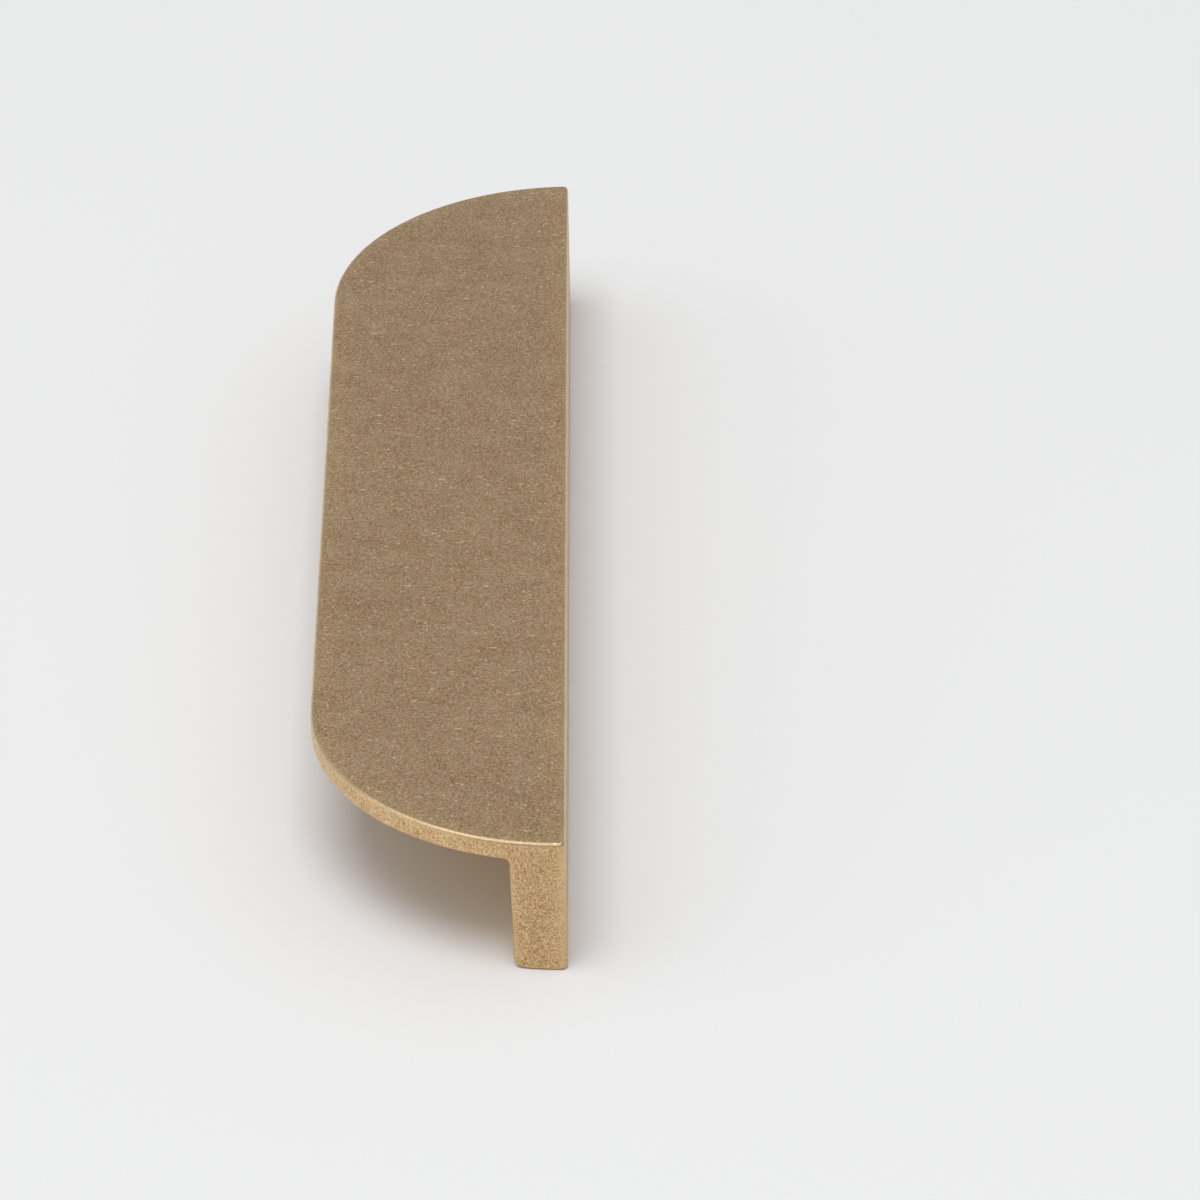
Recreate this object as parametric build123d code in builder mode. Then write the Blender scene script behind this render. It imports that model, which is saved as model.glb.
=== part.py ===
import os
from math import radians, tan

from build123d import *

# Half-oval cabinet pull, one piece of solid brass: a flat grip plate carried on a single leg
# that runs along the whole of its straight side. Sizes are in millimetres.
# +Y runs along the pull, +Z points away from the cabinet face, and the origin lies on the foot,
# midway between the two screw holes.

# Outline, as seen from the front of the cabinet
pull_length = 200.0  # along the straight side
pull_width = 38.0  # straight side to curved side, and the radius of both rounded ends
corner_round = 1.0  # where the rounded ends meet the straight side

# Section across the pull
pull_height = 22.0  # foot to top face
plate_thickness = 3.2
leg_thickness = 8.2  # at its root under the plate
leg_draft = 1.3  # degrees by which the leg's inner face leans towards the foot
root_fillet = 0.8  # inside corner between leg and plate
toe_round = 1.5  # inner long edge of the foot

# Edges softened by tumbling
top_round = 0.6
lower_round = 0.5

# Blind holes in the foot, tapped for M4 screws that come through the door
screw_spacing = 160.0
screw_inset = 4.0  # straight face to the line of the screws
tap_drill = 3.3
hole_depth = 12.0
mouth_diameter = 4.2
mouth_angle = 90.0
drill_point_angle = 118.0

# The straight outer face, the two end centres and the underside of the plate
face_x = screw_inset
end_y = pull_length / 2 - pull_width
underside_z = pull_height - plate_thickness

with BuildPart() as pull:
    # Half-oval block at the full height
    with BuildSketch() as plan:
        with BuildLine():
            far_end = CenterArc((face_x, end_y), pull_width, 90, 90)
            near_end = CenterArc((face_x, -end_y), pull_width, 180, 90)
            Line(far_end @ 1, near_end @ 0)
            Line(near_end @ 1, far_end @ 0)
        make_face()
        fillet(plan.vertices().group_by(Axis.X)[-1], corner_round)
    extrude(amount=pull_height)

    # Finger recess, which leaves the plate and the drafted leg
    root_x = face_x - leg_thickness
    toe_x = root_x + underside_z * tan(radians(leg_draft))
    with BuildSketch(Plane.XZ):
        with BuildLine():
            Polyline(
                (root_x, underside_z),
                (toe_x, 0),
                (face_x - pull_width, 0),
                (face_x - pull_width, underside_z),
                close=True,
            )
        make_face()
    extrude(amount=pull_length / 2, both=True, mode=Mode.SUBTRACT)

    # Long edges of the leg's inner face
    root_edge = pull.edges().filter_by(Axis.Y).group_by(Axis.Z)[1].sort_by(Axis.X)[-1]
    fillet(root_edge, root_fillet)
    toe_edge = pull.edges().filter_by(Axis.Y).group_by(Axis.Z)[0].sort_by(Axis.X)[0]
    fillet(toe_edge, toe_round)

    # Rounded top edge
    fillet(pull.faces().sort_by(Axis.Z)[-1].edges(), top_round)

    # Rounded lower edge: one smooth closed line that follows the plate's rim, runs down both ends
    # of the leg and along the foot, so the rounding carries on from the edge named here
    rim_edge = pull.edges().filter_by(Axis.Y).group_by(Axis.X)[0].sort_by(Axis.Z)[0]
    fillet(rim_edge, lower_round)

    # Screw holes, drilled up into the foot
    foot = Plane(origin=(0, 0, 0), x_dir=(1, 0, 0), z_dir=(0, 0, -1))
    drill_point = tap_drill / 2 / tan(radians(drill_point_angle / 2))
    with Locations(foot):
        with GridLocations(0, screw_spacing, 1, 2):
            CounterSinkHole(tap_drill / 2, mouth_diameter / 2, hole_depth, mouth_angle)
    with Locations(foot.offset(-hole_depth)):
        with GridLocations(0, screw_spacing, 1, 2):
            Cone(
                0,
                tap_drill / 2,
                drill_point,
                align=(Align.CENTER, Align.CENTER, Align.MAX),
                mode=Mode.SUBTRACT,
            )

pull.part.label = "pull"

os.makedirs("parts", exist_ok=True)
export_step(pull.part, "parts/pull.step")
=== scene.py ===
import math

import bmesh
import bpy
from mathutils import Matrix


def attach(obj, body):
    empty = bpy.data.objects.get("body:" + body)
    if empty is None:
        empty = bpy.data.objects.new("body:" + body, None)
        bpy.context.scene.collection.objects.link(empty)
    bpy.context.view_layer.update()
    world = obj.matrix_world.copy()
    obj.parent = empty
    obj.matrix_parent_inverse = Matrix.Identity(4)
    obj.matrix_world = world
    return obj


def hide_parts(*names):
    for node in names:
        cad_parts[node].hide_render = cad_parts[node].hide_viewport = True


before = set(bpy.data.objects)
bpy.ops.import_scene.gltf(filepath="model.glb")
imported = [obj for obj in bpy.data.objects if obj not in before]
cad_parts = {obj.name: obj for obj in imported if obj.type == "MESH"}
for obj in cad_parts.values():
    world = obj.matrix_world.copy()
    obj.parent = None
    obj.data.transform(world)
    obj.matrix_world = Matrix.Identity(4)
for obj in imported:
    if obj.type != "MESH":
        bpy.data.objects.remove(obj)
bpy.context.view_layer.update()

mm = 0.001
print("frame loaded")


# one socket of a shader, so that maths on it reads as plain sums
class Wire:
    def __init__(self, sheet, socket):
        self.sheet = sheet
        self.socket = socket

    def maths(self, operation, *values):
        return self.sheet.add("ShaderNodeMath", {"operation": operation}, dict(enumerate(values)))

    def __add__(self, other):
        return self.maths("ADD", self, other)

    def __radd__(self, other):
        return self.maths("ADD", other, self)

    def __sub__(self, other):
        return self.maths("SUBTRACT", self, other)

    def __rsub__(self, other):
        return self.maths("SUBTRACT", other, self)

    def __mul__(self, other):
        return self.maths("MULTIPLY", self, other)

    def __truediv__(self, other):
        return self.maths("DIVIDE", self, other)

    def __abs__(self):
        return self.maths("ABSOLUTE", self)

    def least(self, other):
        return self.maths("MINIMUM", self, other)

    def most(self, other):
        return self.maths("MAXIMUM", self, other)

    def reach(self, other):  # length of the two taken at right angles
        return self.maths("SQRT", self * self + other * other)

    def fade(self, low, high, start=0.0, end=1.0):  # smooth step from start at low to end at high
        return self.sheet.add(
            "ShaderNodeMapRange",
            {"interpolation_type": "SMOOTHSTEP"},
            {"Value": self, "From Min": low, "From Max": high, "To Min": start, "To Max": end},
        )

    def between(self, start, end):  # start where this is 0, end where it is 1
        return self.fade(0.0, 1.0, start, end)

    def other(self, name):  # another output of the same node
        return Wire(self.sheet, self.socket.node.outputs[name])


# the node sheet of a material or of the world
class Sheet:
    def __init__(self, owner):
        owner.use_nodes = True
        self.tree = owner.node_tree
        self.tree.nodes.clear()

    def add(self, kind, settings=None, inputs=None, output=0):
        node = self.tree.nodes.new(kind)
        for name, value in (settings or {}).items():
            setattr(node, name, value)
        for name, value in (inputs or {}).items():
            if isinstance(value, Wire):
                self.tree.links.new(value.socket, node.inputs[name])
            else:
                node.inputs[name].default_value = value
        return Wire(self, node.outputs[output]) if len(node.outputs) else None

    def split(self, vector):
        x = self.add("ShaderNodeSeparateXYZ", inputs={0: vector}, output="X")
        return x, x.other("Y"), x.other("Z")

    def noise(self, place, size, detail=2.0, roughness=0.5):  # size is the width of a blotch in metres
        return self.add(
            "ShaderNodeTexNoise",
            {"noise_dimensions": "3D"},
            {"Vector": place, "Scale": 1.0 / size, "Detail": detail, "Roughness": roughness},
        )

    def blend(self, amount, first, second):  # mixes two colours
        return self.add(
            "ShaderNodeMix", {"data_type": "RGBA"}, {0: amount, 6: first, 7: second}, output=2
        )


# modelling helpers
snapGap = 0.01 * mm  # points this close count as one place
weldGap = 0.03 * mm  # points this close are merged
seamGap = 0.001 * mm  # the same for the seams of mirrored and wound shapes
cutGap = 0.0001 * mm  # points this close to a cutting plane lie on it
flatAngle = 0.002  # radians; faces this nearly in line become one
facing = 0.9  # a face looks along an axis if its normal goes this far that way


def pickNothing():
    bpy.ops.object.select_all(action="DESELECT")


def makeActive(piece):
    pickNothing()
    piece.select_set(True)
    bpy.context.view_layer.objects.active = piece


def startEdit(piece):
    makeActive(piece)
    bpy.ops.object.mode_set(mode="EDIT")


def endEdit():
    bpy.ops.object.mode_set(mode="OBJECT")


def pickAll():
    bpy.ops.mesh.select_all(action="SELECT")


def pick(piece, kind, test):  # selects the vertices, edges or faces that pass the test
    bpy.ops.mesh.select_mode(type=kind)
    bpy.ops.mesh.select_all(action="DESELECT")
    cage = bmesh.from_edit_mesh(piece.data)
    for part in {"VERT": cage.verts, "EDGE": cage.edges, "FACE": cage.faces}[kind]:
        if test(part):
            part.select_set(True)
    cage.select_flush_mode()
    bmesh.update_edit_mesh(piece.data)


def drawOut(shift):  # extrudes what is picked
    bpy.ops.mesh.extrude_region_move(TRANSFORM_OT_translate={"value": shift})


def turnOutward():
    pickAll()
    bpy.ops.mesh.normals_make_consistent(inside=False)


def applyModifier(piece, kind, **settings):
    modifier = piece.modifiers.new(kind, kind)
    for name, value in settings.items():
        setattr(modifier, name, value)
    makeActive(piece)
    bpy.ops.object.modifier_apply(modifier=modifier.name)


def combine(piece, tool, how):
    applyModifier(piece, "BOOLEAN", operation=how, solver="EXACT", object=tool)
    bpy.data.objects.remove(tool)


def near(value, target):
    return abs(value - target) < snapGap


# camera; lens in millimetres, place in metres, angles in degrees
cameraView = {
    "lens": 227.52,
    "sensor": 36.0,
    "place": (17.73 * mm, -1015.47 * mm, 625.30 * mm),
    "lookDown": 31.54,
    "turn": 0.50,
    "roll": -1.11,
    "nearest": 0.05,
    "farthest": 50.0,
}


def addCamera(view):
    pickNothing()
    bpy.ops.object.camera_add()
    camera = bpy.context.active_object
    camera.name = "photoCamera"
    camera.data.lens = view["lens"]
    camera.data.sensor_width = view["sensor"]
    camera.data.clip_start = view["nearest"]
    camera.data.clip_end = view["farthest"]
    camera.matrix_world = (
        Matrix.Translation(view["place"])
        @ Matrix.Rotation(math.radians(view["turn"]), 4, "Z")
        @ Matrix.Rotation(math.radians(90.0 - view["lookDown"]), 4, "X")
        @ Matrix.Rotation(math.radians(view["roll"]), 4, "Z")
    )
    bpy.context.scene.camera = camera
    print("camera placed")


# floor, panels overhead and room, in metres and watts
studioLook = {
    "floorSize": 20.0,
    "floorPale": (0.805, 0.805, 0.805, 1.0),
    "floorDim": (0.795, 0.800, 0.810, 1.0),
    "floorMottle": 0.09,
    "floorRoughness": 0.9,
    "floorShine": 0.15,
    "floorLift": 0.02 * mm,  # a hair above the foot, so that the foot shows from underneath
    "boxPlace": (-0.26, -0.76, 3.0),
    "boxSize": 1.84,
    "boxPower": 54.5,
    "clothSize": 3.0,  # the wide white cloth that the brass mirrors in place of the box
    "clothPower": 47.0,
    "roomColour": (1.0, 1.0, 1.0, 1.0),
    "roomLow": 0.33,
    "roomHigh": 0.63,
    "roomRise": (0.45, 0.80),  # heights between which it brightens, where 1 is straight up
    "roomBack": 0.28,  # added low down behind the pull
    "backSpan": {"x": (0.7, 0.1), "y": (-0.2, 0.5), "z": (0.5, 0.1)},  # from none of it to all
    "roomLeft": 0.72,  # added on the curved side
    "leftFrom": 0.3,
    "leftSpan": (0.6, 0.0),
}


def addFloor(look):
    pickNothing()
    bpy.ops.mesh.primitive_plane_add(size=look["floorSize"], location=(0, 0, look["floorLift"]))
    floor = bpy.context.active_object
    floor.name = "floor"
    material = bpy.data.materials.new("palePaper")
    sheet = Sheet(material)
    place = sheet.add("ShaderNodeTexCoord", output="Object")
    tone = sheet.blend(sheet.noise(place, look["floorMottle"]), look["floorPale"], look["floorDim"])
    paper = sheet.add(
        "ShaderNodeBsdfPrincipled",
        inputs={
            "Base Color": tone,
            "Roughness": look["floorRoughness"],
            "Specular IOR Level": look["floorShine"],
        },
    )
    clear = sheet.add("ShaderNodeBsdfTransparent")
    below = sheet.add("ShaderNodeNewGeometry", output="Backfacing")  # seen through from underneath
    surface = sheet.add("ShaderNodeMixShader", inputs={0: below, 1: paper, 2: clear})
    sheet.add("ShaderNodeOutputMaterial", inputs={"Surface": surface})
    floor.data.materials.append(material)
    print("floor laid")


def addPanel(name, place, size, power):
    pickNothing()
    bpy.ops.object.light_add(type="AREA", location=place)
    panel = bpy.context.active_object
    panel.name = name
    panel.data.shape = "SQUARE"
    panel.data.size = size
    panel.data.energy = power
    panel.visible_camera = False
    return panel


def addLights(look):
    box = addPanel("softBox", look["boxPlace"], look["boxSize"], look["boxPower"])
    box.visible_glossy = False
    cloth = addPanel("whiteCloth", look["boxPlace"], look["clothSize"], look["clothPower"])
    cloth.visible_diffuse = False
    room = bpy.data.worlds.new("room")
    bpy.context.scene.world = room
    sheet = Sheet(room)
    x, y, z = sheet.split(sheet.add("ShaderNodeTexCoord", output="Generated"))
    level = z.fade(*look["roomRise"], look["roomLow"], look["roomHigh"])
    span = look["backSpan"]
    back = y.fade(*span["y"]) * z.fade(*span["z"]) * x.fade(*span["x"])
    left = (x * -1.0 - look["leftFrom"]).most(0.0) * y.fade(*look["leftSpan"])
    level = level + back * look["roomBack"] + left * look["roomLeft"]
    glow = sheet.add("ShaderNodeBackground", inputs={"Color": look["roomColour"], "Strength": level})
    sheet.add("ShaderNodeOutputWorld", inputs={"Surface": glow})
    print("lights set")


# the pull, in millimetres and degrees
pullShape = {
    "length": 200.0,
    "width": 38.0,
    "height": 22.0,
    "plateThickness": 3.2,
    "legThickness": 8.2,
    "legDraft": 1.3,
    "screwInset": 4.0,
    "cornerRound": 1.0,
    "rootFillet": 0.8,
    "toeRound": 1.5,
    "topRound": 0.6,
    "lowerRound": 0.5,
    "endSteps": 35,  # outline steps in each rounded end
    "cornerSteps": 8,
    "roundSteps": 6,
    "smoothAngle": 32.0,
}

faceX = pullShape["screwInset"] * mm
backX = faceX - pullShape["width"] * mm
endY = (pullShape["length"] / 2 - pullShape["width"]) * mm
topZ = pullShape["height"] * mm
underZ = topZ - pullShape["plateThickness"] * mm
rootX = faceX - pullShape["legThickness"] * mm
legSlope = math.tan(math.radians(pullShape["legDraft"]))
toeX = rootX + underZ * legSlope
spare = 5 * mm  # the bar and the outline stand past each other by this much
upright = 0.001  # the faces of the outline are upright to within this


def onRim(face):  # one of the outline's upright faces; the leg's inner face leans, so it isn't one
    return abs(face.normal.z) < upright


def rimEdge(edge):
    return len(edge.link_faces) == 2 and sum(onRim(face) for face in edge.link_faces) == 1


def height(edge):
    return max(vert.co.z for vert in edge.verts)


def makeOutline(shape):
    # a quarter disc, drawn out to the middle and mirrored, gives the half oval; it goes on below the foot
    pickNothing()
    bpy.ops.mesh.primitive_circle_add(
        vertices=4 * shape["endSteps"],
        radius=shape["width"] * mm,
        fill_type="NGON",
        location=(faceX, 0.0, -spare),
    )
    outline = bpy.context.active_object
    outline.name = "outline"
    bpy.ops.object.transform_apply(location=True)
    startEdit(outline)
    pickAll()
    bpy.ops.mesh.bisect(plane_co=(faceX, 0, 0), plane_no=(1, 0, 0), clear_outer=True, threshold=cutGap)
    pickAll()
    bpy.ops.mesh.bisect(plane_co=(0, 0, 0), plane_no=(0, 1, 0), clear_inner=True, threshold=cutGap)
    pickAll()
    bpy.ops.transform.translate(value=(0, endY, 0))
    pick(outline, "EDGE", lambda edge: all(near(vert.co.y, endY) for vert in edge.verts))
    drawOut((0, -endY, 0))
    endEdit()
    applyModifier(outline, "MIRROR", use_axis=(False, True, False), merge_threshold=seamGap)
    startEdit(outline)
    pickAll()
    bpy.ops.mesh.dissolve_limited(angle_limit=flatAngle)
    pick(outline, "VERT", lambda vert: near(vert.co.x, faceX))
    bpy.ops.mesh.bevel(
        affect="VERTICES",
        offset=shape["cornerRound"] * mm,
        segments=shape["cornerSteps"],
        clamp_overlap=False,
    )
    pickAll()
    bpy.ops.mesh.remove_doubles(threshold=weldGap)
    drawOut((0, 0, topZ + spare))
    turnOutward()
    endEdit()
    return outline


def makeBar(shape):
    # the section drawn along the pull: leg, then head, then plate, with some to spare all round
    wide = faceX + spare - rootX
    pickNothing()
    bpy.ops.mesh.primitive_cube_add(size=1.0, location=(rootX + wide / 2, 0.0, underZ / 2))
    bar = bpy.context.active_object
    bar.name = "brassPull"
    bar.scale = (wide, shape["length"] * mm + 2 * spare, underZ)
    bpy.ops.object.transform_apply(location=True, scale=True)
    startEdit(bar)
    pick(bar, "FACE", lambda face: face.normal.z > facing)
    drawOut((0, 0, topZ + spare - underZ))
    pick(
        bar,
        "FACE",
        lambda face: face.normal.x < -facing and face.calc_center_median().z > underZ,
    )
    drawOut((backX - spare - rootX, 0, 0))
    pick(bar, "VERT", lambda vert: near(vert.co.x, rootX) and near(vert.co.z, 0))
    bpy.ops.transform.translate(value=(toeX - rootX, 0, 0))  # the leg's lean
    for x, z, size in ((rootX, underZ, "rootFillet"), (toeX, 0, "toeRound")):
        pick(
            bar,
            "EDGE",
            lambda edge: all(near(vert.co.x, x) and near(vert.co.z, z) for vert in edge.verts),
        )
        bpy.ops.mesh.bevel(offset=shape[size] * mm, segments=shape["roundSteps"])
    turnOutward()
    endEdit()
    return bar


def roundEdges(blank, shape):
    steps = shape["roundSteps"]
    midPlate = (topZ + underZ) / 2
    startEdit(blank)
    pickAll()
    bpy.ops.mesh.dissolve_limited(angle_limit=flatAngle)
    bpy.ops.mesh.remove_doubles(threshold=weldGap)
    # lower edge of the rim, the ends of the leg and the foot, in one run
    pick(blank, "EDGE", lambda edge: rimEdge(edge) and height(edge) < midPlate)
    bpy.ops.mesh.bevel(offset=shape["lowerRound"] * mm, segments=steps, clamp_overlap=False)
    # top edge
    pick(blank, "EDGE", lambda edge: rimEdge(edge) and height(edge) > midPlate)
    bpy.ops.mesh.bevel(offset=shape["topRound"] * mm, segments=steps, clamp_overlap=False)
    endEdit()


# screw holes, in millimetres; the angle of the point is in degrees
screwHole = {
    "spacing": 160.0,
    "drill": 3.3,
    "depth": 12.0,
    "mouth": 4.2,
    "pointAngle": 118.0,
    "drillSteps": 40,
    "drillTurn": 0.07,  # radians, which keeps the drill's corners off those of the thread
    "thread": 4.0,
    "pitch": 0.7,
    "threadDepth": 10.0,
    "threadSteps": 32,
    "rootSink": 0.06,  # the tap's roots stay this far inside the drilled wall
    "profile": {2: 0.36, 1: 0.76, 0: 1.0},  # eighths of a pitch from the crest: share of the depth
    "profileParts": 8,
    "turnsBelow": 2,  # the tap is wound from here and cut off later
    "turnsSpare": 4,
    "past": 0.5,  # both tools start this far below the foot
}


def makeDrill(hole):
    # drill with its point, and the flare that opens the mouth
    radius = hole["drill"] / 2 * mm
    flare = (hole["mouth"] - hole["drill"]) / 2 * mm
    past = hole["past"] * mm
    tall = hole["depth"] * mm - flare
    pickNothing()
    bpy.ops.mesh.primitive_cylinder_add(
        vertices=hole["drillSteps"],
        radius=radius,
        depth=tall,
        location=(0, 0, flare + tall / 2),
        rotation=(0, 0, hole["drillTurn"]),
    )
    drill = bpy.context.active_object
    drill.name = "drill"
    bpy.ops.object.transform_apply(location=True, rotation=True)
    startEdit(drill)
    pick(drill, "FACE", lambda face: face.normal.z > facing)
    drawOut((0, 0, radius / math.tan(math.radians(hole["pointAngle"] / 2))))
    bpy.ops.mesh.merge(type="CENTER")
    pick(drill, "FACE", lambda face: face.normal.z < -facing)
    drawOut((0, 0, -flare - past))
    wider = (radius + flare + past) / radius
    bpy.ops.transform.resize(value=(wider, wider, 1), center_override=(0, 0, -past))
    turnOutward()
    endEdit()
    return drill


def makeTap(hole):
    # one pitch of the thread's profile, wound up into a tap
    pitch = hole["pitch"] * mm
    root = (hole["drill"] / 2 - hole["rootSink"]) * mm
    crest = hole["thread"] / 2 * mm
    start = -hole["turnsBelow"] * pitch
    step = pitch / hole["profileParts"]
    pickNothing()
    bpy.ops.mesh.primitive_plane_add(size=pitch, rotation=(math.radians(90), 0, 0))
    tap = bpy.context.active_object
    tap.name = "tap"
    bpy.ops.object.transform_apply(rotation=True)
    startEdit(tap)
    pick(tap, "VERT", lambda vert: vert.co.x < 0)
    bpy.ops.mesh.delete(type="VERT")
    pickAll()
    bpy.ops.transform.translate(value=(root - pitch / 2, 0, start))
    bpy.ops.mesh.subdivide(number_cuts=hole["profileParts"] - 1)
    for away, share in hole["profile"].items():
        pick(tap, "VERT", lambda vert: near(abs(vert.co.z - start), away * step))
        bpy.ops.transform.translate(value=(share * (crest - root), 0, 0))
    endEdit()
    applyModifier(
        tap,
        "SCREW",
        axis="Z",
        angle=2 * math.pi,
        screw_offset=pitch,
        iterations=int(hole["threadDepth"] / hole["pitch"]) + hole["turnsSpare"],
        steps=hole["threadSteps"],
        render_steps=hole["threadSteps"],
        use_merge_vertices=True,
        merge_threshold=seamGap,
    )
    startEdit(tap)
    pickAll()
    bpy.ops.mesh.remove_doubles(threshold=seamGap)
    for level, side in ((hole["threadDepth"] * mm, 1), (-hole["past"] * mm, -1)):
        pickAll()
        bpy.ops.mesh.bisect(
            plane_co=(0, 0, level),
            plane_no=(0, 0, side),
            clear_outer=True,
            use_fill=True,
            threshold=cutGap,
        )
    turnOutward()
    endEdit()
    return tap


def copyAlong(piece, shift):
    makeActive(piece)
    bpy.ops.object.duplicate()
    copy = bpy.context.active_object
    copy.location.y = shift
    bpy.ops.object.transform_apply(location=True)
    return copy


def cutHoles(blank, hole):
    for make in (makeDrill, makeTap):
        tool = make(hole)
        for side in (-1, 1):
            combine(blank, copyAlong(tool, side * hole["spacing"] / 2 * mm), "DIFFERENCE")
        bpy.data.objects.remove(tool)


# tumbled brass: brown satin skin, fine speckle, nicks of bare brass with painted glints, and polished
# edges with painted highlights
brassLook = {
    "brown": (0.582, 0.391, 0.245, 1.0),  # skin of the top face
    "olive": (0.573, 0.414, 0.234, 1.0),
    "honey": (0.548, 0.360, 0.197, 1.0),  # skin of the sides
    "amber": (0.540, 0.371, 0.191, 1.0),
    "fresh": (0.705, 0.485, 0.215, 1.0),  # underside and inner face of the leg, less touched
    "gold": (0.740, 0.515, 0.270, 1.0),  # rubbed towards the edges; on the rounded edges and upright corners partly a painted highlight
    "bright": (0.900, 0.725, 0.460, 1.0),  # bare brass along the top edge, made paler still as a painted highlight
    # nicks: bare brass, made near white as a painted glint
    "nick": (1.0, 0.800, 0.470, 1.0),
    # where the skins, the wear and the painted highlights lie
    "topBand": (0.4 * mm, 0.05 * mm),  # below the top face
    "plateBand": (6 * mm, 11 * mm),  # from the straight face
    "hiddenBand": (0.3 * mm, 1.2 * mm),  # in from the outline
    "cornerReach": 0.5 * mm,
    "wornBand": (0.9 * mm, 0.2 * mm),  # from an edge
    "wornBreak": 1.0 * mm,  # how far the specks shift that band
    # the top edge's bare brass and painted highlight, measured from the edge
    "bareBand": (0.6 * mm, 0.2 * mm),
    "bareBreak": 0.6 * mm,
    "rubbedBand": (5 * mm, 0.0),
    # noises
    "patches": {"size": 1.4 * mm, "detail": 3.0, "roughness": 0.6},
    "patchSpan": (0.36, 0.64),
    "broad": {"size": 6.0 * mm, "detail": 4.0, "roughness": 0.6},
    "specks": {"size": 0.34 * mm, "detail": 3.0, "roughness": 0.65},
    "grain": {"size": 0.15 * mm, "detail": 1.0},
    "waves": {"size": 1.6 * mm, "detail": 1.0},
    "dashes": {"room": 0.9 * mm, "stretch": 3.4, "turn": 0.05, "spread": 0.235},
    "dots": {"room": 0.8 * mm, "stretch": 1.5, "turn": -0.45, "spread": 0.29},
    "nickLeast": 0.05,
    "nickCore": 0.4,  # the share of a nick that is fully bright with its painted glint
    "nickSides": 0.35,  # strength on the sides
    # how much of each colour shows
    "rubbedGold": 0.30,
    "wornGold": 0.25,
    "plateGold": 0.55,
    "bareBright": 0.40,
    "nickGlintBright": 0.95,
    # speckle
    "broadShade": 0.32,
    "speckShade": 0.75,
    "grainShade": 0.45,
    "topContrast": 2.3,
    "sideContrast": 2.7,
    "wornContrast": 0.5,
    "topSparkle": 0.4,
    "green": 1.32,  # dark specks lose more green and blue than red, bright ones are paler
    "topBlue": 1.65,
    "sideBlue": 1.85,
    "darkest": 0.2,
    # satin and dents
    "roughness": 0.40,
    "edgeRoughness": 0.35,
    "grainRoughness": 0.12,
    "nickPolish": 0.1,
    "dentDepth": 0.008 * mm,
    "dentGrain": 0.3,
    "nickDepth": 0.015 * mm,
    "waveDepth": 0.020 * mm,
}


def pullZones(sheet, place, look):
    # distances in metres from the outline and from the nearest rounded edge, and where faces lie
    x, y, z = sheet.split(place)
    across = faceX - x
    arc = (pullShape["width"] * mm - across.reach((abs(y) - endY).most(0.0))).most(0.0)
    rim = arc.least(across).most(0.0)
    legFace = faceX - rootX - (underZ - z) * legSlope
    recess = (legFace - across).most(0.0).reach((z - underZ).most(0.0))
    corner = across.reach(arc) - look["cornerReach"]  # the upright corners at the two ends, where the worn band also paints a highlight
    lip = rim.reach(topZ - z)
    edge = lip.least(rim.reach(z.least(recess))).least(recess.reach(z)).least(corner)
    topStart, topFull = look["topBand"]
    top = z.fade(topZ - topStart, topZ - topFull)
    plateRim = (1.0 - top) * across.fade(*look["plateBand"])
    hidden = (1.0 - top) * rim.fade(*look["hiddenBand"])
    return {"edge": edge, "lip": lip, "top": top, "plateRim": plateRim, "hidden": hidden}


def addNicks(sheet, place, nick, look):
    # short marks of bare brass with a painted glint, longer across the pull than along it; a few are
    # large and most are tiny
    room = nick["room"]
    stretched = sheet.add(
        "ShaderNodeMapping",
        {"vector_type": "TEXTURE"},
        {
            "Vector": place,
            "Rotation": (0, 0, nick["turn"]),
            "Scale": (room * nick["stretch"], room, room),
        },
    )
    cells = sheet.add(
        "ShaderNodeTexVoronoi",
        {"feature": "F1", "voronoi_dimensions": "3D"},
        {"Vector": stretched, "Scale": 1.0, "Randomness": 1.0},
    )
    dice = sheet.add("ShaderNodeSeparateColor", inputs={0: cells.other("Color")}, output="Red")
    size = look["nickLeast"] + dice * dice * dice * nick["spread"]
    return (cells / size).fade(1.0, look["nickCore"])


def addMarks(sheet, place, zones, look):
    # noises about zero, nicks with their painted glints, and wear with its painted highlights
    marks = {name: sheet.noise(place, **look[name]) - 0.5 for name in ("broad", "specks", "grain")}
    dashes = addNicks(sheet, place, look["dashes"], look)
    dots = addNicks(sheet, place, look["dots"], look)
    marks["nicks"] = dashes.most(dots) * zones["top"].between(look["nickSides"], 1.0)
    # worn rounded edges and upright corners, paler partly as a painted highlight
    marks["worn"] = (zones["edge"] + marks["specks"] * look["wornBreak"]).fade(*look["wornBand"])
    # bare brass along the top edge, partly a painted highlight
    marks["bare"] = (zones["lip"] + marks["specks"] * look["bareBreak"]).fade(*look["bareBand"])
    return marks


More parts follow.
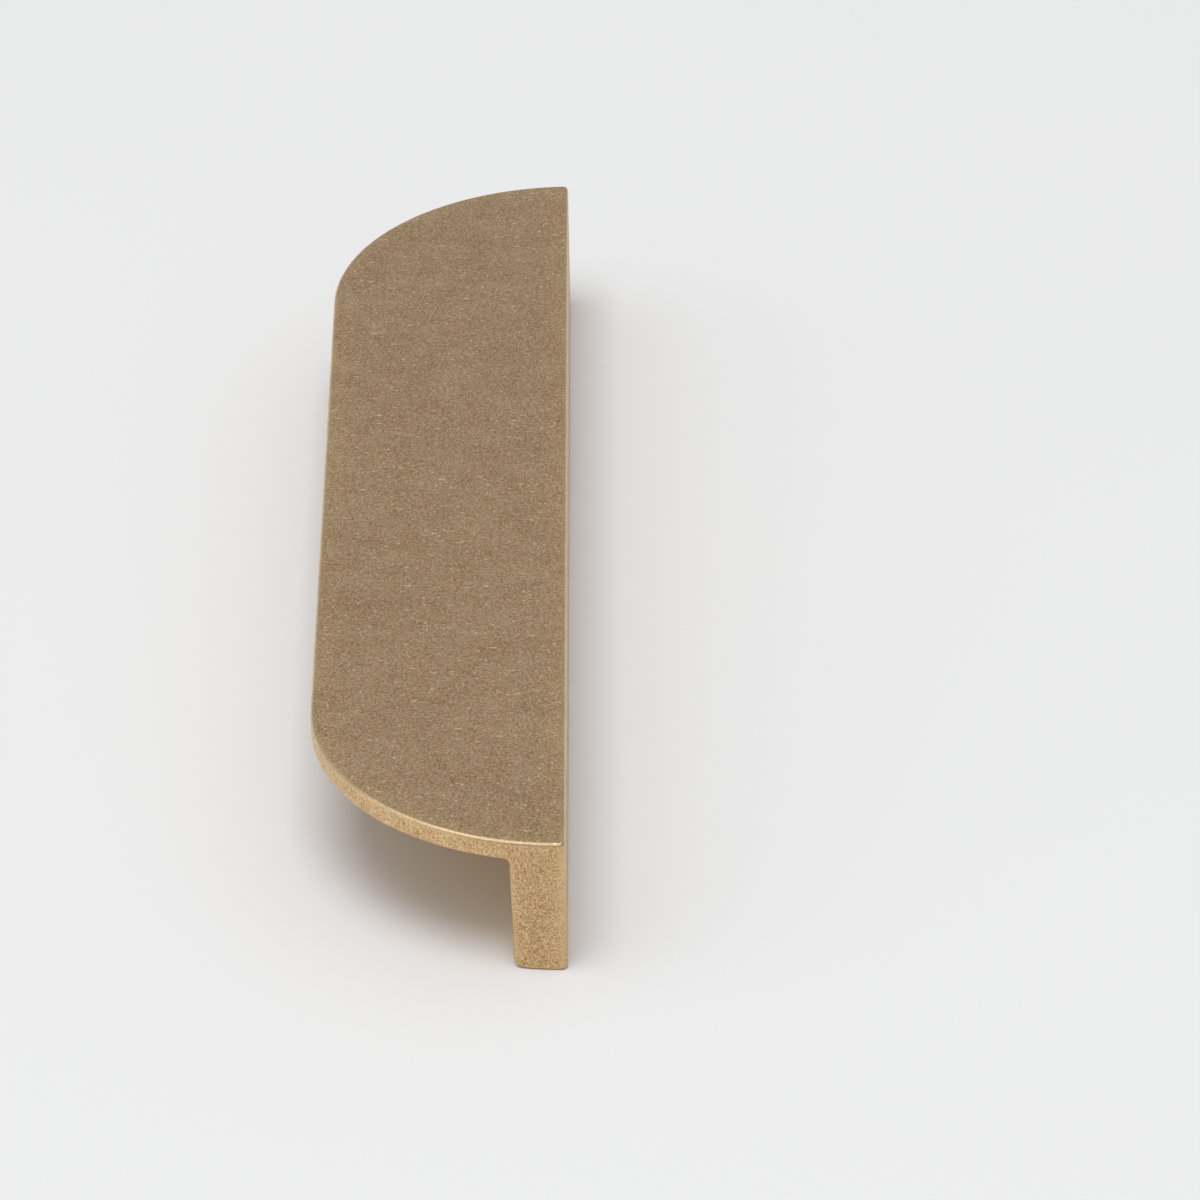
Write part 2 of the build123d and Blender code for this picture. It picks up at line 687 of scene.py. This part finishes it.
def brassColour(sheet, place, zones, marks, look):
    top = zones["top"]
    patches = sheet.noise(place, **look["patches"]).fade(*look["patchSpan"])
    topSkin = sheet.blend(patches, look["brown"], look["olive"])
    sideSkin = sheet.blend(patches, look["honey"], look["amber"])
    colour = sheet.blend(top, sideSkin, topSkin)
    colour = sheet.blend(zones["hidden"], colour, look["fresh"])
    # gold: rubbed edges and the plate rim, with a painted highlight on the rounded edges and corners
    rubbedAndSheen = zones["edge"].fade(*look["rubbedBand"]) * look["rubbedGold"]
    rubbedAndSheen = (rubbedAndSheen + marks["worn"] * look["wornGold"]).most(zones["plateRim"] * look["plateGold"])
    colour = sheet.blend(rubbedAndSheen, colour, look["gold"])
    # paler top edge: rubbed bare brass and a painted highlight of the overhead light
    colour = sheet.blend(marks["bare"] * look["bareBright"], colour, look["bright"])
    speckle = marks["specks"] * look["speckShade"] + marks["grain"] * look["grainShade"]
    contrast = top.between(look["sideContrast"], look["topContrast"])
    contrast = contrast * (1.0 - marks["worn"] * look["wornContrast"])
    shade = marks["broad"] * look["broadShade"] + speckle * contrast
    shade = shade + speckle.most(0.0) * top * look["topSparkle"]
    blue = top.between(look["sideBlue"], look["topBlue"])
    tone = sheet.add(
        "ShaderNodeCombineXYZ",
        inputs={
            "X": (1.0 + shade).most(look["darkest"]),
            "Y": (1.0 + shade * look["green"]).most(look["darkest"]),
            "Z": (1.0 + shade * blue).most(look["darkest"]),
        },
    )
    colour = sheet.add("ShaderNodeVectorMath", {"operation": "MULTIPLY"}, {0: colour, 1: tone})
    # nicks: bare brass and a painted glint of the overhead light
    return sheet.blend(marks["nicks"] * look["nickGlintBright"], colour, look["nick"])


def brassRoughness(marks, look):
    roughness = look["roughness"] + marks["grain"] * look["grainRoughness"]
    roughness = roughness - marks["nicks"] * look["nickPolish"]
    return roughness + marks["worn"] * (look["edgeRoughness"] - look["roughness"])


def brassBumps(sheet, place, marks, look):
    # dents first, then the nicks cut into them, then the waves of the whole skin
    dents = sheet.add(
        "ShaderNodeBump",
        inputs={
            "Strength": 1.0,
            "Distance": look["dentDepth"],
            "Height": marks["specks"] + marks["grain"] * look["dentGrain"],
        },
    )
    chips = sheet.add(
        "ShaderNodeBump",
        {"invert": True},
        {"Strength": 1.0, "Distance": look["nickDepth"], "Height": marks["nicks"], "Normal": dents},
    )
    return sheet.add(
        "ShaderNodeBump",
        inputs={
            "Strength": 1.0,
            "Distance": look["waveDepth"],
            "Height": sheet.noise(place, **look["waves"]),
            "Normal": chips,
        },
    )


def tumbledBrass(look):
    material = bpy.data.materials.new("tumbledBrass")
    sheet = Sheet(material)
    place = sheet.add("ShaderNodeTexCoord", output="Object")
    zones = pullZones(sheet, place, look)
    marks = addMarks(sheet, place, zones, look)
    brass = sheet.add(
        "ShaderNodeBsdfPrincipled",
        inputs={
            "Base Color": brassColour(sheet, place, zones, marks, look),
            "Metallic": 1.0,
            "Roughness": brassRoughness(marks, look),
            "Normal": brassBumps(sheet, place, marks, look),
        },
    )
    sheet.add("ShaderNodeOutputMaterial", inputs={"Surface": brass})
    return material


def makePull():
    pull = makeBar(pullShape)
    combine(pull, makeOutline(pullShape), "INTERSECT")
    roundEdges(pull, pullShape)
    print("pull shaped")
    cutHoles(pull, screwHole)
    print("holes tapped")
    makeActive(pull)
    bpy.ops.object.shade_smooth_by_angle(angle=math.radians(pullShape["smoothAngle"]))
    applyModifier(pull, "WEIGHTED_NORMAL", keep_sharp=True)
    pull.data.materials.clear()
    pull.data.materials.append(tumbledBrass(brassLook))
    print("brass finished")
    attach(pull, "root")
    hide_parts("pull")


bpy.context.scene.view_settings.view_transform = "Standard"
addCamera(cameraView)
addFloor(studioLook)
addLights(studioLook)
makePull()
